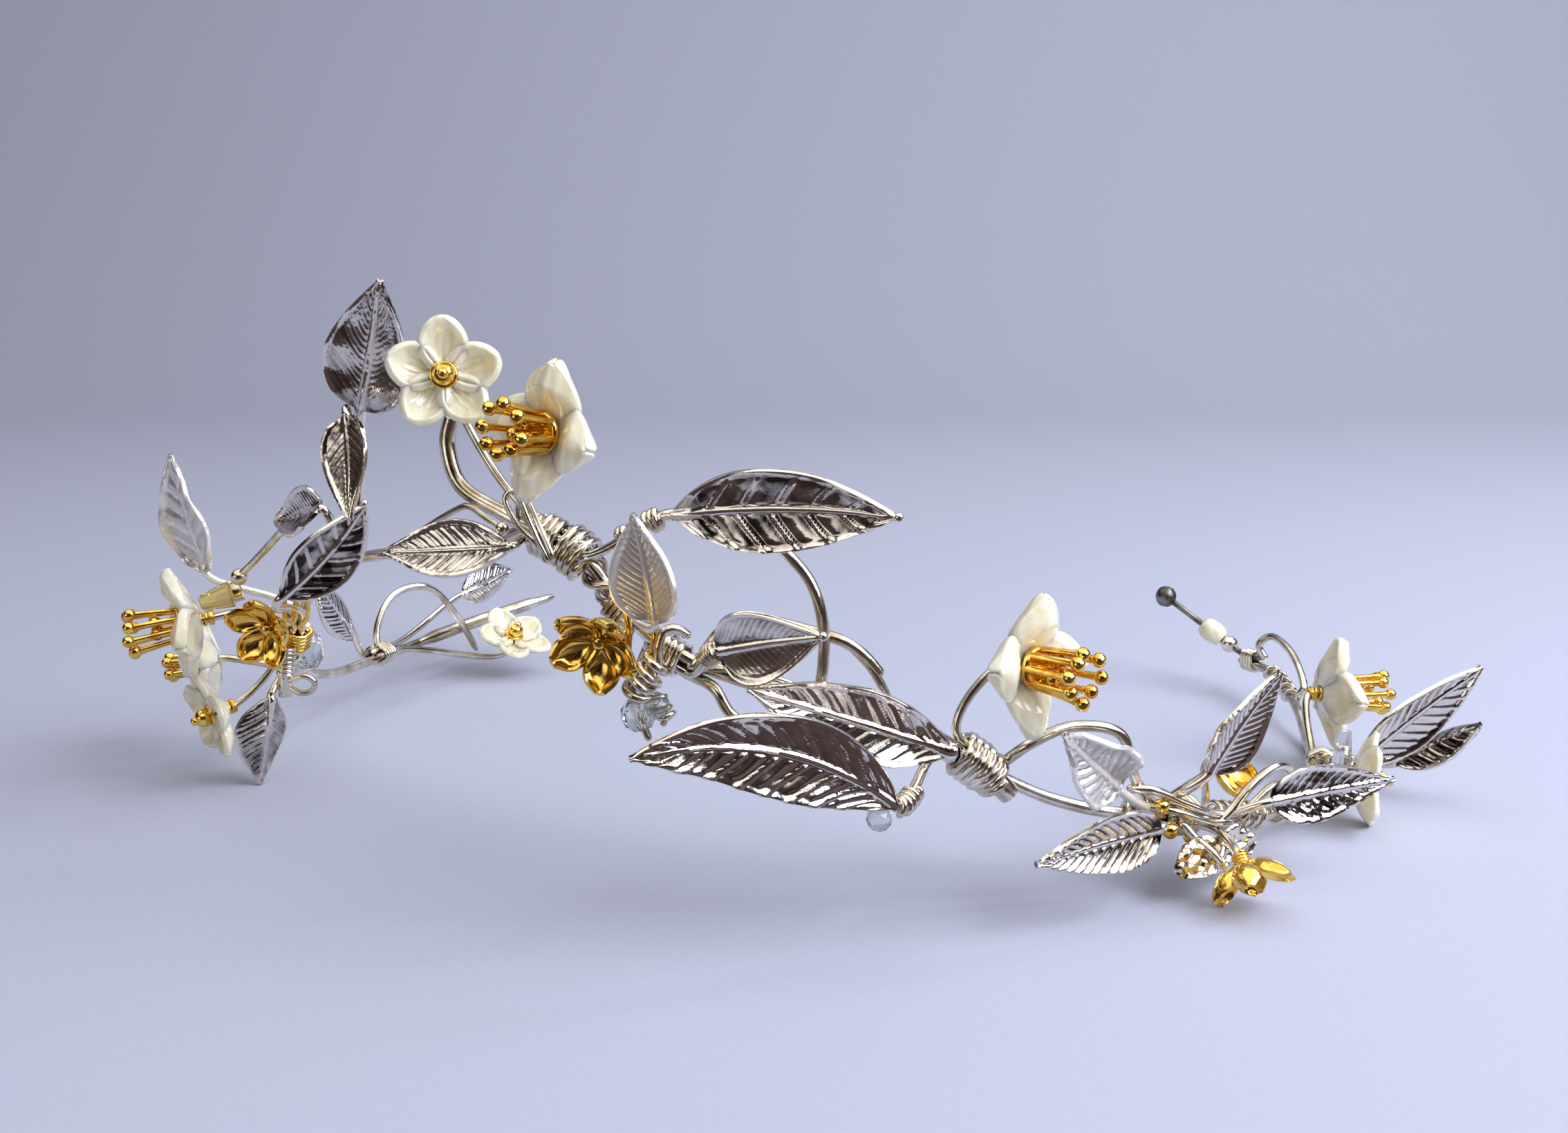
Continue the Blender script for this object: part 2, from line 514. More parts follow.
# Pearl flowers, ground from mother-of-pearl shell and set round a stem that comes up through the
# middle. The large ones have four plump pointed petals, each with a ridge across it where the inner
# face meets the tip; the small ones have five round petals, dished and grooved near the middle.
STAR_D, CARVED_D = 19.0, 14.5
STAR_RISE, CARVED_RISE = STAR_D * 0.15, CARVED_D * 0.1
# name: (binding, slot, way, angle, share, stand-off, turn sideways, turn up, spin, pointed)
FLOWER_PLACE = {
    "peak_carved": (PEAK, 0, -1, -35, 1.42, 5, 40, 10, 0, False),
    "peak_star": (PEAK, 50, -1, -25, 1.28, 4, -12, 8, 10, True),
    "front_star": (BROW, 30, -1, 15.2, 0.68, 4, 30, 2, 8, True),
    "side_star": (SIDE, 300, 1, 76, 0.26, -1, 20, 0, 5, True),
    "left_star": (LEFT, 58, -1, -72, 0.57, 20.5, 0, -8, 8, True),
    "left_carved": (LEFT, 106, 1, -73, 0.25, 18, 22, -12, 0, False),
    "back_carved": (BACK, 300, 1, -127, 0.16, -9, 180, 60, 0, False),
    "side_carved": (SIDE, 120, -1, 57, 0.155, 9, 20, 0, 30, False),
}


def flower_matrix(place):
    """A flower's place in metres: +Z along its axis, +X towards its first petal."""
    angle, share, stand, turn, up, spin = place[3:9]
    turn, up, spin = radians(turn), radians(up), radians(spin)
    z = cos(up) * (cos(turn) * outward(angle) + sin(turn) * along(angle)) + sin(up) * UP
    x = square_to(cos(spin) * UP + sin(spin) * along(angle), z)
    y = z.cross(x)
    turned = Matrix((x, y, z)).transposed().to_4x4()
    turned.translation = on_band((angle, share, stand)) * MM
    return turned


def copy_of(piece, place):
    """A copy with its own mesh, which is moved to a place."""
    new = piece.copy()
    new.data = piece.data.copy()
    bpy.context.collection.objects.link(new)
    new.data.transform(place)
    new.data.update()
    return new


def petal_ring(petal, count, middle, turned, tipped, smallest, slim=1.0):
    """Copies of a petal round a flower's axis, each turned and tipped by up to a few degrees."""
    petals = []
    for k in range(count):
        spin = 360 * k / count + random.uniform(-turned, turned)
        lie = Matrix.Rotation(radians(spin), 4, "Z")
        lie = lie @ Matrix.Rotation(radians(random.uniform(-tipped, tipped)), 4, "X")
        size = random.uniform(smallest, 1.0)
        lie = lie @ Matrix.Diagonal((size, size * slim, size, 1))
        petals.append(copy_of(petal, middle @ lie))
    return petals


def shape_petal(name, reach, wide, fullest, point, rise, thick, relief):
    """One petal along +X, seen from +Z. Relief gives its height in mm at a share of its length and
    of its half width."""
    bpy.ops.mesh.primitive_grid_add(x_subdivisions=20, y_subdivisions=16, size=2)
    petal = bpy.context.object
    petal.name = name
    for vertex in petal.data.vertices:
        t, q = (vertex.co.x + 1) / 2, vertex.co.y
        r = 0.9 + (reach - 0.9) * t
        swell = sin(pi * t ** fullest) ** point if 0 < t < 1 else 0
        half = max(0.3 + 1.2 * (1 - t), wide / 2 * swell)
        vertex.co = Vector((r - 0.06 * wide * q * q * (1 - t), q * half,
                            rise * (r / reach) ** 2 + relief(t, q))) * MM
    modify(petal, "shell", "SOLIDIFY", thickness=thick * MM, offset=-1)
    modify(petal, "ground smooth", "SUBSURF", levels=1, render_levels=1)
    bpy.ops.object.shade_smooth()
    return petal


# Mother-of-pearl: cream shell with nacre bands a few millimetres apart, and a gloss coat over soft
# depth
nacre, tree, shader, where = new_finish("mother_of_pearl_shell", "pearl_shell")
drift = add_node(tree, "TexNoise", "Fac", {
    "Vector": where, "Scale": 150, "Detail": 3, "Distortion": 0.6})
bands = add_node(tree, "TexWave", "Fac", {
    "Vector": where, "Scale": 180, "Distortion": 7, "Detail": 3, "Detail Scale": 1.4})
cream = add_node(tree, "ValToRGB", "Color", {"Fac": drift}, (
    (0.2, "#dbe3d3"), (0.3, "#ebe2bd"), (0.58, "#fbf2d6"), (0.72, "#f5e4bf")))
faint = add_node(tree, "Math", "Value", {0: bands, 1: 0.45}, operation="MULTIPLY")
layer = add_node(tree, "Mix", 2, {"Factor": faint, 6: cream, 7: "#e2e2cf"}, data_type="RGBA",
                 blend_type="MULTIPLY")
soft = add_node(tree, "MapRange", "Result", {"Value": bands, "To Min": 0.16, "To Max": 0.28})
fine = {"Height": bands, "Strength": 0.12, "Distance": 0.0001}
set_inputs(tree, shader, {
    "Base Color": layer, "Roughness": soft, "Normal": add_node(tree, "Bump", "Normal", fine),
    "IOR": 1.53, "Subsurface Weight": 0.5, "Subsurface Scale": 0.002,
    "Subsurface Radius": (1.0, 0.9, 0.72), "Coat Weight": 1.0, "Coat Roughness": 0.06})


def star_relief(t, q):
    """Plump, with a curved ridge two thirds of the way out."""
    out = t + 0.14 * q * q
    along_it = ease(0, 0.62, out) if out < 0.62 else max(0.0, 1 - (out - 0.62) / 0.42)
    return 2.1 * along_it * (1 - abs(q) ** 1.7)


def carved_relief(t, q):
    """Dished, with a raised lip round it and three grooves that run to the middle."""
    dish = 1.3 * (q * q - 0.5) * sin(pi * min(1, t * 0.94 + 0.06) ** 0.8)
    lip = 0.42 * ease(0.66, 0.92, max(abs(q), t))
    grooves = sum(-0.35 * exp(-((q - g) / 0.09) ** 2) for g in (-0.4, 0, 0.4))
    return dish + lip + grooves * ease(0, 0.15, t) * (1 - ease(0.4, 0.8, t))


random.seed(11)
star_petal = shape_petal("star_petal", reach=STAR_D / 2 - 0.1, wide=9.7, fullest=0.84, point=0.72,
                         rise=STAR_RISE, thick=1.9, relief=star_relief)
carved_petal = shape_petal("carved_petal", reach=CARVED_D / 2 + 0.3, wide=5.6, fullest=1.0,
                           point=0.78, rise=CARVED_RISE, thick=1.1, relief=carved_relief)
for name, place in FLOWER_PLACE.items():
    petal, count = (star_petal, 4) if place[9] else (carved_petal, 5)
    petals = petal_ring(petal, count, flower_matrix(place), 3, 5, 0.95)
    add(join(petals, name + "_shell_petals"), nacre, "petals_" + name)
# A third star sits low behind the left ones, turned to the side, and only its edge shows
HIDDEN_STAR, HIDDEN_SCALE = (LEFT, 0, 1, -84, 0.33, 20.0, 0, -8, 45, True), 0.8
hidden = flower_matrix(HIDDEN_STAR)
petals = []
for k in range(4):
    lie = Matrix.Rotation(radians(90 * k), 4, "Z") @ Matrix.Scale(HIDDEN_SCALE, 4)
    petals.append(copy_of(star_petal, hidden @ lie))
add(join(petals, "left_hidden_star_petals"), nacre)
for petal in (star_petal, carved_petal):
    bpy.data.objects.remove(petal)


# Stamens and hearts. A star has a ring of eight ball-ended gold wires on a small gold dish, with
# three short ones inside, and a small flower has a gold bead in a ring. Each is soldered to the
# stem that holds the flower.
STAMEN_L, STAMEN_WIRE_D, STAMEN_BALL_D, HEART_D = 8.0, 0.7, 1.5, 3.0
DISC_R = STAR_D * 0.13
DISC_Z = CLEARANCE + STAR_RISE * (2 * DISC_R / STAR_D) ** 2 * 2.4
DISC_T, DISC_EDGE_D, NECK = 0.8, 1.0, 1.5
# (how many, place as a share of the dish, lean outward, share of the full length)
STAMEN_RINGS = ((8, 0.96, 4, 1.0), (3, 0.34, 3, 0.5))

# Gold plate over cast and drawn wire: rich yellow, with orange-brown where it is worn thin
gold, tree, shader, where = new_finish("gold_plate", "gold_plate")
mottle = add_node(tree, "TexNoise", "Fac", {"Vector": where, "Scale": 420, "Detail": 4})
pits = add_node(tree, "TexNoise", "Fac", {"Vector": where, "Scale": 2100, "Detail": 2})
hue = add_node(tree, "ValToRGB", "Color", {"Fac": mottle}, ((0.32, "#d79a35"), (0.6, "#fbd873")))
dull = add_node(tree, "MapRange", "Result", {"Value": pits, "To Min": 0.08, "To Max": 0.2})
fine = {"Height": pits, "Strength": 0.2, "Distance": 0.0001}
set_inputs(tree, shader, {"Base Color": hue, "Roughness": dull, "Metallic": 1.0,
                          "Normal": add_node(tree, "Bump", "Normal", fine)})


def ball(radius, centre, stretch=1.0):
    """A ball melted on the end of a wire, so it is a little uneven."""
    bpy.ops.mesh.primitive_uv_sphere_add(segments=18, ring_count=12, radius=radius * MM)
    melted = bpy.context.object
    for vertex in melted.data.vertices:
        vertex.co *= 1 + 0.05 * noise.noise(vertex.co / MM * 1.2 + Vector(centre))
        vertex.co.z *= stretch
        vertex.co += Vector(centre) * MM
    bpy.ops.object.shade_smooth()
    return melted


def coil_along(name, points, start, end, turns, reach, fine_d, phase=0.0):
    """Wire wound round another wire's points, from place to place, at a reach from its middle."""
    coil = []
    steps = int(turns * 20)
    for i in range(steps + 1):
        f = i / steps
        here, run, out, up = wire_frame(points, start + (end - start) * f)
        a = 2 * pi * (turns * f + phase)
        loose = reach * (1 + 0.06 * noise.noise(Vector((f * 11, turns, reach))))
        coil.append(here + loose * (cos(a) * run.cross(out) + sin(a) * out))
    return bend_wire(name, coil, fine_d, round_ended(len(coil)), 12)


def flower_stem(place, start, neck):
    """The silver stem of a flower, from above its middle to its slot, with a gold collar behind."""
    c = on_band(place[3:6])
    w = flower_matrix(place).col[2].to_3d()
    back = c - 2 * neck * w
    points = [c + start * w, c - neck * w, back] + stem_path(*place[:3], back, w)
    stem = plate(bend_wire("stem", smoothed(points, 2), STEM_SEEN_D, None, 12), wire_silver)
    collar = coil_along("collar", points[1:], 0.1, 1.9, 3.4, STEM_SEEN_D / 2 + 0.3, 0.6)
    return [stem, plate(collar, gold)]


def stamen(bend, length):
    """A rod with a ball on it, up +Z from the disc, leaning over to +X."""
    tip = Vector((bend * 0.9, 0, length))
    rod = [Vector((bend * f * f, 0, length * f)) for f in (0, 0.25, 0.5, 0.75, 1)]
    piece = bend_wire("rod", rod, STAMEN_WIRE_D * 1.4, (1.15, 1, 0.95, 1, 1.2), 12)
    return join([piece, ball(STAMEN_BALL_D / 2 * 1.3, tip)], "stamen")


def ring(radius, wire_d, height, segments):
    """A round ring of wire that lies flat at a height, in mm."""
    bpy.ops.mesh.primitive_torus_add(
        major_radius=radius * MM, minor_radius=wire_d / 2 * MM, major_segments=segments,
        minor_segments=12, location=(0, 0, height * MM))
    bpy.ops.object.transform_apply(location=True)
    bpy.ops.object.shade_smooth()
    return bpy.context.object


def star_middle(middle):
    """A gold dish with a rolled edge, and its stamens."""
    bpy.ops.mesh.primitive_cylinder_add(vertices=40, radius=DISC_R * MM, depth=DISC_T * MM,
                                        location=(0, 0, (DISC_Z + DISC_T / 2) * MM))
    bpy.ops.object.transform_apply(location=True)
    dish = bpy.context.object
    modify(dish, "rounded", "BEVEL", width=0.3 * MM, segments=3)
    bpy.ops.object.shade_smooth_by_angle(angle=radians(40))
    parts = [dish, ring(DISC_R, DISC_EDGE_D, DISC_Z + 0.75, 40)]
    for piece in parts:
        piece.data.transform(middle)
    for count, out, lean, share in STAMEN_RINGS:
        for k in range(count):
            length = STAMEN_L * share
            rod = stamen(random.uniform(-0.2, 0.4), length * random.uniform(0.9, 1.04))
            turn = Matrix.Rotation(radians(360 * k / count + random.uniform(-4, 4)), 4, "Z")
            foot = Matrix.Translation(Vector((out * DISC_R, 0, DISC_Z + DISC_T / 2)) * MM)
            tip_over = Matrix.Rotation(radians(lean + random.uniform(-3, 3)), 4, "Y")
            rod.data.transform(middle @ turn @ foot @ tip_over)
            parts.append(rod)
    return parts


def heart(middle):
    """A gold bead in a ring, with a small ball on top."""
    parts = [ball(HEART_D / 2, (0, 0, CLEARANCE + HEART_D / 2)),
             ball(STAMEN_BALL_D / 2, (0, 0, CLEARANCE + HEART_D)), ring(1.55, 0.68, 0.75, 36)]
    for piece in parts:
        piece.data.transform(middle)
    return parts


random.seed(5)
for name, place in FLOWER_PLACE.items():
    if place[9]:
        kind, start, parts = "stamens", DISC_Z, star_middle(flower_matrix(place))
    else:
        kind, start, parts = "heart", CLEARANCE + HEART_D / 2, heart(flower_matrix(place))
    for piece in parts:
        plate(piece, gold)
    fit(join(parts + flower_stem(place, start, NECK), name + "_gold_" + kind), "gold_plate",
        kind + "_" + name)

# The hidden star has five, and its stem goes straight to the nearest band wire
HIDDEN_STAMEN_L, HIDDEN_FOOT, HIDDEN_STEM_D = 6.4, (1.6, 0, 0.6), 1.3
parts = []
for k in range(5):
    rod = stamen(0.2, HIDDEN_STAMEN_L)
    turn = Matrix.Rotation(radians(72 * k), 4, "Z") @ Matrix.Translation(Vector(HIDDEN_FOOT) * MM)
    rod.data.transform(hidden @ turn)
    parts.append(plate(rod, gold))
middle = on_band(HIDDEN_STAR[3:6])
foot = min((on_curve(left, k / 10) for k in range(10, 110)), key=lambda p: (p - middle).length)
stem = smoothed([middle, middle - 2 * NECK * hidden.col[2].to_3d(), foot], 6)
parts.append(plate(bend_wire("stem", stem, HIDDEN_STEM_D, None, 12), wire_silver))
fit(join(parts, "left_hidden_star_stamens"), "gold_plate")


# Gold cup flowers. Each is five deep spoon-shaped petals of gold-plated metal, pressed with a
# rolled rim, round a knob, and is soldered to its stem. The right one has six narrower petals.
CUP_D, CUP_T, KNOB_R, KNOB_FLAT, KNOB_Z = 12.5, 0.6, 1.2, 0.9, 0.3
CUP_RISE, SPOON_W, HUB = CUP_D * 0.26, 4.9, 0.6
CUP_PLACE = {
    "left": (LEFT, 154, -1, -69, 0.55, 9, 44, -10, 10),
    "centre": (MIDDLE, 120, 1, -19.5, 0.76, 8, 0, -20, 36),
    "right": (RIGHT, 193, 1, 32, 0.126, 15, 0, -50, 10),
    "side": (RIGHT, 253, 1, 48, 0.2, -9, 0, 20, 0),
}
bpy.ops.mesh.primitive_grid_add(x_subdivisions=22, y_subdivisions=16, size=2)
spoon = bpy.context.object
for vertex in spoon.data.vertices:
    t, q = (vertex.co.x + 1) / 2, vertex.co.y
    r = HUB + (CUP_D / 2 - HUB) * t
    half = max(HUB, SPOON_W / 2 * (sin(pi * t ** 1.45) ** 0.62 if 0 < t < 1 else 0))
    rim = ease(0.78, 1, abs(q)) + ease(0.88, 1, t)
    bowl = 1.3 * (q * q - 0.6) * sin(pi * t ** 1.2) ** 0.7 if 0 < t < 1 else 0
    vertex.co = Vector((r - 0.4 * q * q * t, q * half,
                        CUP_RISE * (2 * r / CUP_D) ** 2 + bowl + 0.22 * rim)) * MM
modify(spoon, "metal", "SOLIDIFY", thickness=CUP_T * MM, offset=0)
modify(spoon, "rolled rim", "BEVEL", width=0.2 * MM, segments=2, angle_limit=radians(60))
bpy.ops.object.shade_smooth()

random.seed(23)
for name, place in CUP_PLACE.items():
    middle = flower_matrix(place)
    count, slim = (6, 0.84) if name == "right" else (5, 1.0)
    parts = petal_ring(spoon, count, middle, 4, 8, 0.93, slim)
    knob = ball(KNOB_R, (0, 0, KNOB_Z), KNOB_FLAT)
    knob.data.transform(middle)
    parts.append(knob)
    for piece in parts:
        plate(piece, gold)
    fit(join(parts + flower_stem(place, 0, CUP_T), name + "_gold_cup"), "gold_plate",
        "cup_" + name)
bpy.data.objects.remove(spoon)


# End rod. A short silver rod leaves the last binding at the back and turns over the head. It ends
# in a silver ball and carries a barrel bead of pearl shell.
ROD_L, ROD_D, END_BALL_D, BARREL_AT = 17.0, 1.2, 4.2, 3.0
ROD_WAY = Vector((-0.7, 0.45, 0.5)).normalized()
# Old silver of the rod: gone grey with age, darkest in cloudy patches
old_silver, tree, shader, where = new_finish("old_silver", "silver_plate")
age = add_node(tree, "TexNoise", "Fac", {"Vector": where, "Scale": 420, "Detail": 3})
grey = add_node(tree, "ValToRGB", "Color", {"Fac": age}, ((0.36, "#57544e"), (0.66, "#97948c")))
set_inputs(tree, shader, {"Base Color": grey, "Roughness": 0.34, "Metallic": 1.0})

rod_run = slot_run(END, 0, 1, SIDE_WIRE_D, ROD_D)
bundle[END].append((0, ROD_D))
rod_turn = rod_run[2] + 2 * (BOUND_AT[END][1] + ROD_WAY).normalized()
rod_tip = rod_turn + ROD_L * ROD_WAY
rod_points = smoothed(rod_run + [rod_turn, (rod_turn + rod_tip) / 2, rod_tip], 6)
rod = bend_wire("rod", rod_points, ROD_D)
add(join([rod, ball(END_BALL_D / 2, rod_tip)], "end_rod_and_ball"), old_silver, "end_rod")

# The barrel's outline as (radius, height) in mm, spun round its hole
BARREL_PROFILE = [
    (0.8, 0), (1.3, 0.05), (1.66, 0.25), (1.95, 0.7), (2.2, 1.5), (2.3, 2.5), (2.2, 3.5),
    (1.95, 4.3), (1.66, 4.75), (1.3, 4.95), (0.8, 5.0)]
barrel_mesh = bpy.data.meshes.new("barrel")
barrel_mesh.from_pydata([(r * MM, 0, z * MM) for r, z in BARREL_PROFILE],
                        [(i, i + 1) for i in range(len(BARREL_PROFILE) - 1)], [])
barrel = put("pearl_barrel", barrel_mesh)
bpy.ops.object.mode_set(mode="EDIT")
bpy.ops.mesh.select_all(action="SELECT")
bpy.ops.mesh.spin(steps=40, angle=2 * pi, center=(0, 0, 0), axis=(0, 0, 1))
bpy.ops.mesh.select_all(action="SELECT")
bpy.ops.mesh.remove_doubles(threshold=1e-6)
bpy.ops.mesh.normals_make_consistent(inside=False)
bpy.ops.object.mode_set(mode="OBJECT")
bpy.ops.object.shade_smooth()


def stand(piece, way, middle):
    """Turns a piece's +Z to a direction and moves its origin to a point in mm."""
    turned = way.to_track_quat("Z", "X").to_matrix().to_4x4()
    turned.translation = middle * MM
    piece.data.transform(turned)
    return piece


add(stand(barrel, ROD_WAY, rod_turn + BARREL_AT * ROD_WAY), nacre, "barrel_bead")


# Clear bead. A faceted bead of clear cut glass, with the least touch of green-blue, is threaded on
# the short wire that hangs under the brow, and the wire's bent end holds it.
CLEAR_BEAD_D, BEAD_AT = 5.0, 5.1


def cut_glass(name, first, second, seeds, rough, ior, clear):
    """Glass with faint seeds in it, about that many a metre, and two tones."""
    finish, tree, shader, where = new_finish(name, "clear_glass")
    seedy = add_node(tree, "TexNoise", "Fac", {"Vector": where, "Scale": seeds, "Detail": 2})
    tone = add_node(tree, "Mix", 2, {"Factor": seedy, 6: first, 7: second}, data_type="RGBA")
    fine = {"Height": seedy, "Strength": 0.05, "Distance": 0.0001}
    set_inputs(tree, shader, {
        "Base Color": tone, "Roughness": rough, "IOR": ior, "Transmission Weight": clear,
        "Normal": add_node(tree, "Bump", "Normal", fine)})
    return finish


# Clear cut glass: nearly colourless and polished
glass = cut_glass("clear_cut_glass", "#f4f8f8", "#dfe7e6", 700, 0.04, 1.54, 0.92)


def cut_bead(name, here, run, diameter, stretch=1.0):
    """A faceted bead at a point in mm, with its hole along a direction."""
    bpy.ops.mesh.primitive_ico_sphere_add(subdivisions=2, radius=diameter / 2 * MM,
                                          scale=(1, 1, stretch))
    bead = bpy.context.object
    bead.name = name
    bpy.ops.object.transform_apply(scale=True)
    modify(bead, "cut edges", "BEVEL", width=0.05 * MM, segments=1)
    return stand(bead, run, here)


here, run, out, up = wire_frame(drop, BEAD_AT)
add(cut_bead("clear_glass_bead", here, run, CLEAR_BEAD_D), glass, "clear_bead")


# Bindings. At each join fine wire is wound tight round the band wire and the stems beside it, so it
# follows the outline of the bundle. The left one is gold-plated, the others silver-plated.
AROUND, PER_TURN, PITCH = 120, 30, 0.98
HEAVY_TURNS = {PEAK: 4, BROW: 4, DIP: 4, RIGHT: 4.5}


def bundle_outline(wire_d, stems, fine_d):
    """Evenly spaced points round a bundle, as (outward, up) in mm, where fine wire would lie."""
    rounds = [(0.0, 0.0, wire_d / 2)]
    for slot, d in stems:
        reach = wire_d / 2 + CLEARANCE + (STEM_D if d == STEM_SEEN_D else d) / 2
        rounds.append((reach * sin(radians(slot)), reach * cos(radians(slot)), d / 2))
    loop = []
    for k in range(AROUND):
        a = 2 * pi * k / AROUND
        x, y, r = max(rounds, key=lambda c: c[0] * sin(a) + c[1] * cos(a) + c[2])
        loop.append(Vector((x + (r + fine_d / 2) * sin(a), y + (r + fine_d / 2) * cos(a))))
    steps = [(loop[(i + 1) % AROUND] - loop[i]).length for i in range(AROUND)]
    even, gone, i = [], 0.0, 0
    for k in range(PER_TURN):
        want = sum(steps) * k / PER_TURN
        while gone + steps[i % AROUND] < want:
            gone += steps[i % AROUND]
            i += 1
        part = (want - gone) / max(steps[i % AROUND], 1e-9)
        even.append(loop[i % AROUND].lerp(loop[(i + 1) % AROUND], part))
    return even


def wind(name, at, outline, turns, fine_d):
    """Fine wire wound round an outline, centred on a wire frame, with its ends tucked in."""
    here, run, out, up = at
    n = len(outline)
    points = []
    for i in range(int(turns * n) + 1):
        f = i / n
        loose = 1 + 0.025 * noise.noise(Vector((f * 1.7, turns, len(name))))
        p = outline[i % n] * loose
        tuck = 0.8 if i < 2 or i > turns * n - 2 else 1.0
        points.append(here + (f - turns / 2) * fine_d * PITCH * run
                      + tuck * (p.x * out + p.y * up))
    return bend_wire(name, points, fine_d, None, 12)


for b, (wire, t, turns, name) in enumerate(BINDINGS):
    shown = HEAVY_TURNS.get(b, turns)
    fine_d = turns * BINDING_WIRE_D / shown
    outline = bundle_outline(WIRE_D[wire], bundle[b], fine_d)
    add(wind(name + "_binding", BOUND_AT[b], outline, shown, fine_d),
        gold if b == LEFT else wire_silver, "wrap_" + name)


# Loose work round the peak. A thin silver wire runs up in two hairpins behind the star, another is
# folded over the long leaf and ends in a ball, and thick loose turns tie the strands that are
# twisted round the brow wire.
def add_wire(name, diameter, points, finish=wire_silver):
    """A wire with rounded ends through points in mm."""
    path = smoothed([Vector(p) for p in points], 6)
    add(bend_wire(name, path, diameter, round_ended(len(path)), 12), finish)


def ring_wire(name, diameter, *places, finish=wire_silver):
    """A wire through places on the band."""
    add_wire(name, diameter, on_ring(*places), finish)


def add_ball(name, radius, centre, finish=wire_silver):
    """A melted ball of that radius at a point in mm."""
    add(join([ball(radius, centre)], name), finish)


def add_coil(name, points, start, end, turns, reach, fine_d, phase=0.0, finish=wire_silver):
    """A wire of its own that is wound round the points of another."""
    add(coil_along(name, points, start, end, turns, reach, fine_d, phase), finish)


ring_wire("peak_hairpin", 0.85, (-25.9, 0.93, 3), (-26.4, 0.975, 3.4), (-28.2, 1.03, 4),
          (-29.4, 1.09, 4), (-29.1, 1.118, 3.8), (-28.5, 1.115, 3.6), (-28.0, 1.09, 3.5),
          (-27.2, 1.04, 3.6), (-26.3, 0.985, 3.6), (-25.4, 0.94, 3.6))
ring_wire("peak_short_hairpin", 0.85, (-25.0, 0.95, 3.6), (-25.9, 1.0, 3.2), (-27.0, 1.05, 2.6),
          (-28.0, 1.085, 1.9), (-28.9, 1.09, 1.4), (-29.6, 1.06, 1.0), (-29.8, 1.02, 0.6))
ring_wire("folded_wire", 0.9, (-40.9, 0.97, 2.2), (-37.8, 1.02, 2.2), (-35.4, 1.055, 2.2),
          (-34.6, 1.06, 2.2), (-33.8, 1.055, 2.2), (-32.4, 1.035, 2.4), (-30.6, 1.015, 2.8))
add_ball("folded_wire_ball", 0.95, on_band((-30.4, 1.012, 2.9)))
# Name, wire that it is wound round, start, end, turns, reach, diameter, phase
for row in (
        ("peak_loose_turns", brow, 4.42, 5.05, 3.2, 3.1, 1.0, 0.1),
        ("peak_strand", brow, 4.2, 5.95, 1.7, 1.75, 1.2),
        ("peak_second_strand", brow, 4.2, 5.95, 1.9, 1.7, 0.9, 0.5),
        ("centre_strand", brow, 6.35, 7.0, 1.4, 1.7, 1.1, 0.3),
        ("dip_strand", brow, 7.3, 10.1, 1.2, 1.45, 0.8, 0.2),
        ("top_leaf_turns", stem_route["front_top"], 2.2, 3.9, 2.3, 1.25, 0.95),
        ("top_leaf_knot", stem_route["front_top"], 6.6, 7.4, 1.2, 1.3, 1.2),
        ("middle_leaf_turns", stem_route["front_middle"], 0.8, 5.4, 5.2, 1.15, 0.8),
        ("long_leaf_turns", stem_route["front_long"], 0.6, 5.2, 4.3, 1.1, 0.9)):
    add_coil(*row)


# Knot under the brow. Gold wires come down from the middle cup into a knot of thick silver turns
# that holds two clear beads, with an arched end beside it.
ring_wire("cup_gold_drop", 1.0, (-18.0, 0.84, 5.2), (-17.7, 0.78, 5.4), (-17.9, 0.72, 5),
          (-17.6, 0.66, 4.6), finish=gold)
ring_wire("cup_second_gold_drop", 1.0, (-15.9, 0.83, 4), (-15.7, 0.76, 4.4), (-16.1, 0.7, 4.2),
          (-16.2, 0.65, 4), finish=gold)
ring_wire("arched_end", 1.3, (-12.9, 0.76, 3.4), (-13.8, 0.785, 4.4), (-14.7, 0.78, 5.2),
          (-15.1, 0.745, 5.6), (-15.2, 0.7, 5.4), (-15.6, 0.655, 5))
add_coil("brow_knot", on_ring((-15.4, 0.7, 4.4), (-16.1, 0.665, 4.6), (-16.9, 0.63, 4.8),
                              (-17.2, 0.6, 4.6)), 0.1, 2.8, 3.6, 1.75, 1.25)
add_coil("knot_tail", on_ring((-15.7, 0.6, 4), (-15.1, 0.56, 4), (-14.6, 0.535, 4)),
         0, 2, 3.2, 1.0, 0.8)
add(cut_bead("knot_bead", on_band((-15.6, 0.575, 4.4)), along(-15), 3.6), glass)
ring_wire("arc_end", TENDRIL_D, (0.5, 0.735, 2.2), (1.9, 0.69, 2.4), (3.0, 0.635, 2.4),
          (3.7, 0.585, 2.2), (4.0, 0.54, 1.9))
add_coil("arc_end_turns", brow, 9.3, 9.55, 2.3, 1.7, 0.8)


# Front joint. A short tube covers the cut ends of the wires, and a clear bead sits where the long
# leaf's stem begins.
def add_tube(name, start, end, outer_d):
    """An open silver tube between two points in mm, with filed ends."""
    bpy.ops.mesh.primitive_cylinder_add(
        vertices=40, radius=outer_d / 2 * MM, depth=(end - start).length * MM,
        end_fill_type="NOTHING")
    tube = bpy.context.object
    tube.name = name
    modify(tube, "wall", "SOLIDIFY", thickness=0.35 * MM, offset=-1)
    modify(tube, "filed ends", "BEVEL", width=0.1 * MM, segments=2)
    bpy.ops.object.shade_smooth_by_angle(angle=radians(40))
    add(stand(tube, (end - start).normalized(), (start + end) / 2), wire_silver)


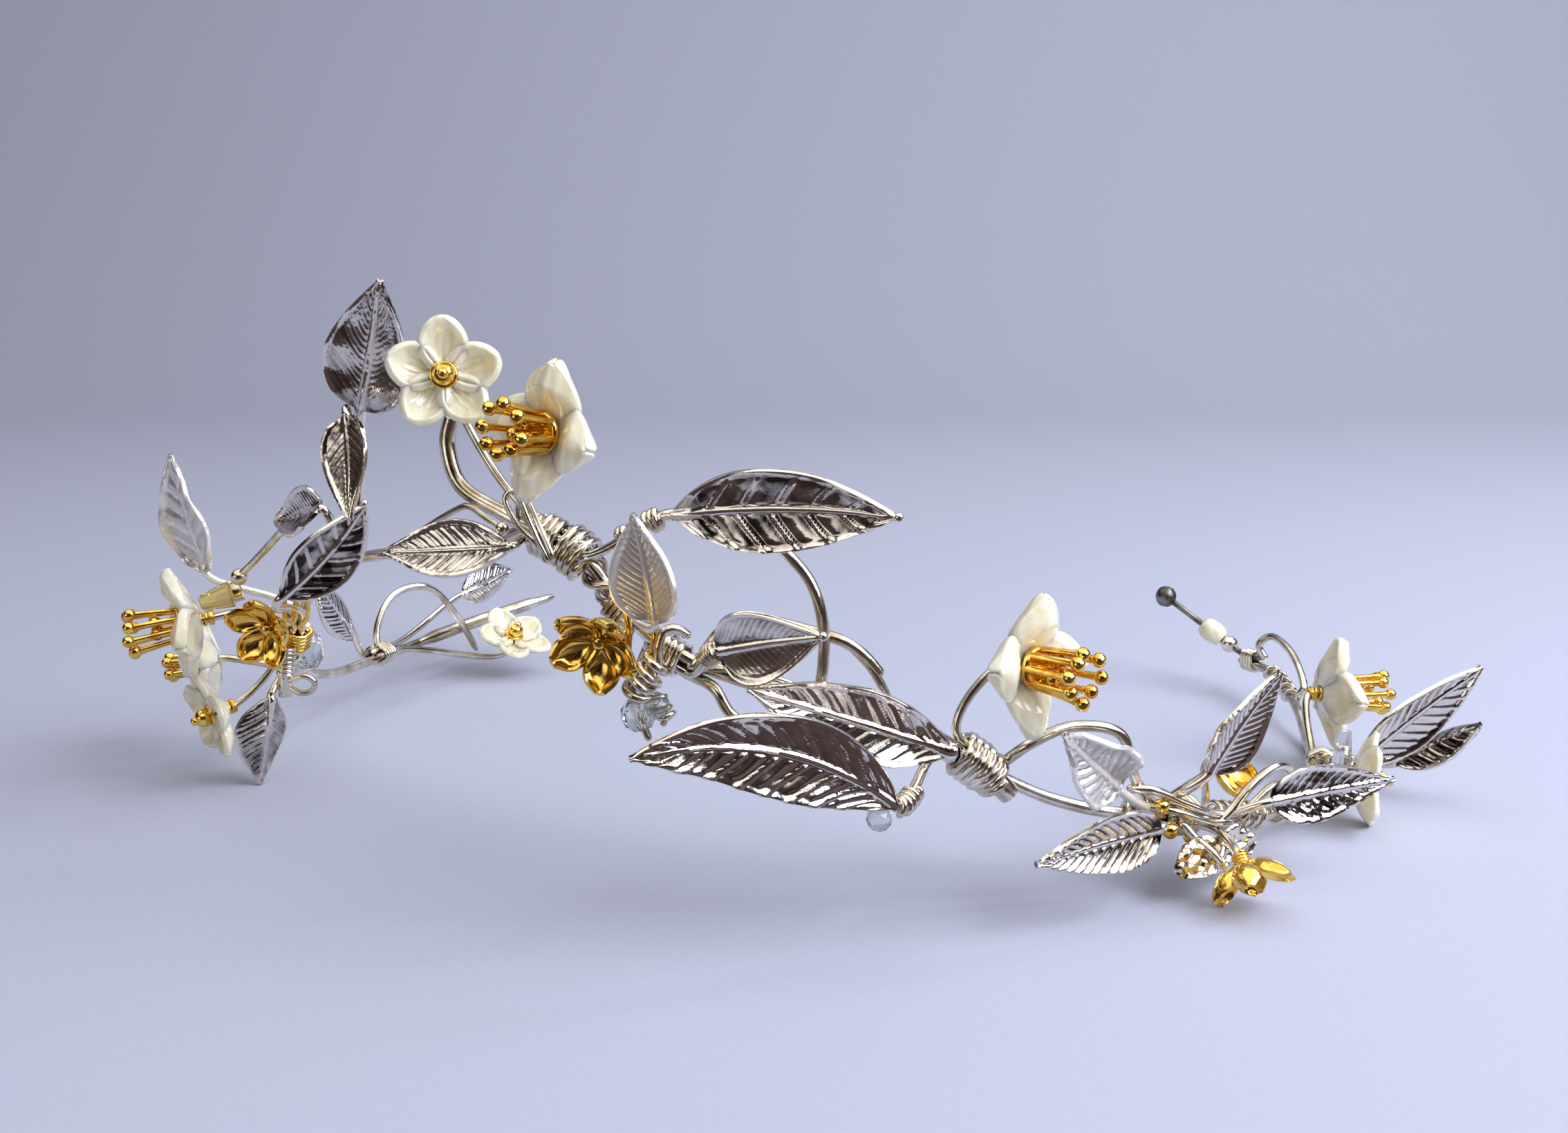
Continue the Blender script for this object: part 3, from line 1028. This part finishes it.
here, run, out, up = wire_frame(brow, 11.75)
add_tube("joint_tube", here - 1.6 * run, here + 2.2 * run, 3.1)
add_coil("joint_turns", brow, 10.95, 11.55, 3.3, 2.5, 1.2)
long_bead_at = stem_route["front_long"][0] + Vector((-2.2, -0.3, -1.6))
add(cut_bead("long_leaf_bead", long_bead_at, along(3), 3.4), glass)


# Right cluster. Several strands are twisted together where the leaves meet, one of them turned up
# in a wide loop, with gold beads between them and crumpled silver petals beside the gold cup.
ring_wire("right_strand", 1.3, (25.4, 0.3, 3), (27.4, 0.3, 5.0), (29.8, 0.26, 5.6),
          (32.9, 0.215, 6), (35.9, 0.185, 5))
ring_wire("right_second_strand", 1.2, (26.4, 0.25, 3), (29.4, 0.235, 6.0), (32.8, 0.19, 6.6),
          (36.5, 0.16, 5.6))
ring_wire("right_loop", 1.35, (34.6, 0.17, 5.6), (35.8, 0.2, 6), (38.3, 0.27, 6.4),
          (41.5, 0.3, 6.4), (43.8, 0.275, 6.2), (43.6, 0.235, 6.0), (41.6, 0.235, 5.8),
          (39.6, 0.205, 5.6), (37.6, 0.155, 5.2))
RIGHT_BEADS = (((28.3, 0.25, 5), 1.15), ((29.1, 0.18, 5.4), 1.25), ((31.0, 0.155, 6), 0.9),
               ((34.0, 0.12, 6.6), 1.0))
for k, (place, radius) in enumerate(RIGHT_BEADS):
    add_ball("right_gold_bead_%d" % (k + 1), radius, on_band(place), gold)
for row in (("right_ribs", right, 6.25, 6.75, 5.5, 1.9, 0.75),
            ("right_chain", right, 6.9, 8.6, 9.0, 1.35, 0.7, 0.3),
            ("right_lead_turns", right, 5.1, 5.5, 3.0, 1.5, 0.8)):
    add_coil(*row)


def crumpled_petal(name, *corners):
    """A rough, pinched sheet of silver between four places on the band."""
    a, b, c, d = on_ring(*corners)
    bpy.ops.mesh.primitive_grid_add(x_subdivisions=28, y_subdivisions=28, size=2)
    sheet = bpy.context.object
    sheet.name = name
    for vertex in sheet.data.vertices:
        p, q = vertex.co.x, vertex.co.y
        p, q = p * (1 - 0.28 * q * q), q * (1 - 0.28 * p * p)
        p, q = (p + 1) / 2, (q + 1) / 2
        here = (a * (1 - p) + b * p) * (1 - q) + (d * (1 - p) + c * p) * q
        face = (b - a).cross(d - a).normalized()
        fold = 1.6 * noise.noise(here / 3.2) + 0.7 * noise.noise(here / 1.1) - 1.4 * (p - 0.5) ** 2
        vertex.co = (here + fold * face) * MM
    modify(sheet, "metal", "SOLIDIFY", thickness=0.5 * MM, offset=0)
    modify(sheet, "melted edge", "BEVEL", width=0.16 * MM, segments=2, angle_limit=radians(60))
    bpy.ops.object.shade_smooth()
    add(sheet, wire_silver)


crumpled_petal("right_rough_petal", (27.0, 0.07, 11), (34.0, 0.08, 11), (34.6, 0.16, 7.5),
               (28.6, 0.17, 8))
crumpled_petal("right_second_rough_petal", (33.4, 0.08, 10), (37.6, 0.07, 9), (37.8, 0.16, 6.5),
               (33.6, 0.17, 7))
ring_wire("right_foot_wire", 1.3, (30.2, 0.2, 5.4), (30.9, 0.16, 7.4), (31.6, 0.13, 9.6),
          (32.1, 0.1, 11.2))


# Side cluster. A clear glass cone bead and rings of gold-plated wire sit on the band wire between
# the side star and the leaves, to hide where their stems are bound.
def cone_bead(name, start, end, wide_d, narrow_d, finish):
    """A cone of glass between two points in mm, widest at its start."""
    bpy.ops.mesh.primitive_cone_add(vertices=12, radius1=wide_d / 2 * MM,
                                    radius2=narrow_d / 2 * MM, depth=(end - start).length * MM)
    bead = bpy.context.object
    bead.name = name
    modify(bead, "cut edges", "BEVEL", width=0.35 * MM, segments=2)
    add(stand(bead, (end - start).normalized(), (start + end) / 2), finish)


cone_bead("side_cone_bead", *on_ring((62.2, 0.12, 3), (63.6, 0.24, 3)), 3.4, 1.8, glass)
add_coil("side_gold_rings", right, 8.2, 8.6, 2.4, 1.9, 0.7, finish=gold)


# Left cluster. A satin wire curves down behind to a ball, a champagne glass cone with a silver
# collar fills the space behind the pearl star, and gold loops tie the leaf. Below the gold binding
# come fine silver turns, a cut tube, a small loop and a long glass bead. Places are in mm.
LEFT_AXIS = [Vector(p) for p in ((-89.4, -25.0, 23.0), (-89.7, -25.0, 20.5), (-90.0, -25.0, 17.6),
                                 (-90.2, -25.0, 14.6))]
# Champagne glass: clear, with a pale yellow tint
champagne = cut_glass("champagne_glass", "#fbe79a", "#f3d777", 500, 0.05, 1.52, 0.85)
add_wire("left_satin_wire", 1.25, [
    (-94.6, -30.0, 36.0), (-92.9, -31.0, 37.4), (-89.5, -33.0, 40.5), (-84.6, -37.0, 45.0),
    (-79.9, -42.0, 48.6)])
add_ball("left_satin_ball", 1.35, (-94.6, -30.0, 35.8))
cone_bead("left_champagne_cone", Vector((-97.6, -25.4, 32.0)), Vector((-102.2, -27.6, 30.8)),
          4.6, 2.4, champagne)
add_tube("left_cone_collar", Vector((-96.2, -24.9, 32.5)), Vector((-97.8, -25.4, 32.0)), 3.4)
add_wire("left_gold_loop", 0.8, [
    (-88.2, -29.0, 28.0), (-87.4, -31.0, 31.5), (-86.4, -33.0, 34.7), (-84.9, -34.6, 36.4),
    (-84.4, -34.0, 34.9), (-85.6, -31.0, 30.3), (-87.0, -29.0, 27.6)], gold)
add_wire("left_second_gold_loop", 0.8, [
    (-87.2, -28.5, 27.6), (-85.6, -31.5, 31.5), (-84.3, -33.0, 33.6), (-83.4, -32.6, 33.2),
    (-84.2, -30.0, 29.3), (-86.4, -28.0, 26.8)], gold)
add_coil("left_fine_turns", LEFT_AXIS, 0.0, 1.9, 7.2, 1.25, 0.6)
add_tube("left_tube", LEFT_AXIS[1], LEFT_AXIS[3], 2.3)
add_wire("left_small_loop", 1.0, [
    (-89.6, -25.4, 17.2), (-88.2, -26.2, 17.9), (-86.4, -26.4, 18.4), (-84.9, -26.2, 17.4),
    (-85.4, -26.0, 15.9), (-87.3, -26.0, 15.4), (-89.4, -25.4, 16.4)])
add(cut_bead("left_glass_bead", Vector((-88.3, -17.5, 20.5)), UP, 5.4, 1.35), glass)


# Back of the left side. A short sleeve stiffens the end of the band wire, and a bent wire arches
# over the band in front of it.
sleeve_run = smoothed(left[-3:], 6)[3:-1]
add(bend_wire("back_sleeve", sleeve_run, 2.5, round_ended(len(sleeve_run))), wire_silver)
add_wire("left_back_arch", 1.4, [
    (-85.9, 20.0, 7.0), (-86.9, 22.0, 14.0), (-84.2, 26.0, 20.0), (-78.6, 31.0, 20.3),
    (-74.4, 36.0, 13.4), (-71.5, 41.0, 4.8)])


# Right back end. The rod's foot passes through a silver bead, and the band wire's end is turned
# over it in a loop.
add_ball("rod_foot_bead", 1.7, rod_turn + 1.4 * ROD_WAY)
foot, crest = on_curve(right, 12.3), on_curve(right, 11.1)
add_wire("end_loop", 1.4, [
    foot + Vector((0.6, 0, 1.6)), foot + Vector((-0.8, 0.6, 4.4)), foot + Vector((1.4, -0.6, 6.4)),
    (foot + crest) / 2 + Vector((2.2, 0, 6.2)), crest + Vector((1.4, 0, 3.8)),
    crest + Vector((0.4, 0, 1.7))])
add_coil("end_turns", right, 11.2, 12.1, 5.0, 1.35, 0.75)


# Table and room. The circlet lies on plain pale lavender paper that runs up behind it. A soft
# window light stands close at the front right, with a weak light overhead and one on the backdrop,
# and the room behind the camera is dim and warm with a bright doorway at the left.
HALF_W, NEAR_EDGE, BEND_AT, BEND_R, TOP = 1.4, -1.2, 0.5, 0.4, 1.1
# Matt lavender paper with a trace of fibre
paper, tree, shader, where = new_finish("matt_lavender_paper")
fibre = add_node(tree, "TexNoise", "Fac", {"Vector": where, "Scale": 900, "Detail": 3})
set_inputs(tree, shader, {
    "Base Color": add_node(tree, "Mix", 2, {"Factor": fibre, 6: "#bec0cb", 7: "#b7b9c5"},
                           data_type="RGBA"),
    "Roughness": 0.9, "Specular IOR Level": 0.0})
profile = [(NEAR_EDGE, 0.0), (BEND_AT, 0.0)]
for a in range(9, 91, 9):
    profile.append((BEND_AT + BEND_R * sin(radians(a)), BEND_R - BEND_R * cos(radians(a))))
profile.append((BEND_AT + BEND_R, TOP))
n = len(profile)
sweep_mesh = bpy.data.meshes.new("table")
sweep_mesh.from_pydata([(x, y, z) for x in (-HALF_W, HALF_W) for y, z in profile], [],
                       [(i, i + 1, i + 1 + n, i + n) for i in range(n - 1)])
table = put("table", sweep_mesh)
bpy.ops.object.shade_smooth()
table.data.materials.append(paper)


def soft_light(name, place, aim, size, power, colour, mirrored=True):
    """A rectangular light that faces a point, with its power in watts."""
    bpy.ops.object.light_add(type="AREA", location=place)
    lamp = bpy.context.object
    lamp.name = name
    lamp.data.shape = "RECTANGLE"
    lamp.data.size, lamp.data.size_y = size
    lamp.data.energy = power
    lamp.data.color = linear(colour)[:3]
    lamp.visible_glossy = mirrored
    lamp.rotation_euler = (Vector(aim) - Vector(place)).to_track_quat("-Z", "Y").to_euler()


soft_light("window", (0.46, -0.24, 0.4), (0, -0.03, 0.03), (0.55, 0.45), 5.6, "#e6ecff")
soft_light("ceiling", (-0.05, -0.12, 0.85), (-0.02, -0.1, 0), (0.9, 0.7), 2.4, "#eff2ff", False)
soft_light("backdrop wash", (0.6, 0.3, 0.8), (0.35, 0.9, 0.35), (0.4, 0.3), 2.6, "#e8edff")

# A dark card lies on the table in front, out of sight, so that bright metal has something dark to
# reflect there. It is felt, brown in cloudy patches.
CARD_AT, CARD_SIZE = (0, -0.585, 0.0008), (2.2, 0.97, 1)
bpy.ops.mesh.primitive_plane_add(size=1, location=CARD_AT)
card = bpy.context.object
card.name = "dark_card"
bpy.ops.object.transform_apply(location=True)
bpy.ops.object.mode_set(mode="EDIT")
bpy.ops.mesh.select_all(action="SELECT")
bpy.ops.transform.resize(value=CARD_SIZE, center_override=CARD_AT)
bpy.ops.mesh.subdivide(number_cuts=6)
bpy.ops.object.mode_set(mode="OBJECT")
felt, tree, shader, where = new_finish("dark_felt_card")
nap = add_node(tree, "TexNoise", "Fac", {"Vector": where, "Scale": 7, "Detail": 3})
set_inputs(tree, shader, {
    "Base Color": add_node(tree, "Mix", 2, {"Factor": nap, 6: "#1a1413", 7: "#4f3835"},
                           data_type="RGBA"),
    "Roughness": 0.9})
card.data.materials.append(felt)
card.visible_camera = card.visible_diffuse = False
card.visible_shadow = card.visible_transmission = False

# The room itself shows only in mirrors. Everything else sees an even pale grey.
DOORWAY, DOORWAY_LIGHT = (-0.72, -0.68, 0.12), (2.6, 2.5, 2.35, 1)
CEILING_LIGHT, ROOM_STRENGTH = (2.7, 2.55, 2.3, 1), 0.6
room = bpy.data.worlds.new("room")
bpy.context.scene.world = room
room.use_nodes = True
tree = room.node_tree
heading = add_node(tree, "TexCoord", "Generated", {})
shapes = add_node(tree, "TexNoise", "Fac", {"Vector": heading, "Scale": 2.2, "Detail": 2})
gloom = add_node(tree, "ValToRGB", "Color", {"Fac": shapes}, (
    (0.42, "#120e0d"), (0.62, "#5f4f4a")))
height = add_node(tree, "SeparateXYZ", "Z", {"Vector": heading})
ragged = add_node(tree, "Math", "Value", {0: shapes, 1: 0.5, 2: height}, operation="MULTIPLY_ADD")
ceiling = add_node(tree, "MapRange", "Result", {
    "Value": ragged, "From Min": 0.82, "From Max": 0.98, "To Max": 1.0})
above = add_node(tree, "Mix", 2, {"Factor": ceiling, 6: gloom, 7: CEILING_LIGHT},
                 data_type="RGBA")
aside = add_node(tree, "VectorMath", "Value", {0: heading, 1: DOORWAY}, operation="DOT_PRODUCT")
doorway = add_node(tree, "MapRange", "Result", {
    "Value": aside, "From Min": 0.915, "From Max": 0.98, "To Max": 0.9})
around = add_node(tree, "Mix", 2, {"Factor": doorway, 6: above, 7: DOORWAY_LIGHT},
                  data_type="RGBA")
mirrored = add_node(tree, "LightPath", "Is Glossy Ray", {})
set_inputs(tree, tree.nodes["Background"], {
    "Color": add_node(tree, "Mix", 2, {"Factor": mirrored, 6: "#c8c6cb", 7: around},
                      data_type="RGBA"),
    "Strength": ROOM_STRENGTH})
bpy.context.scene.view_settings.view_transform = "Standard"
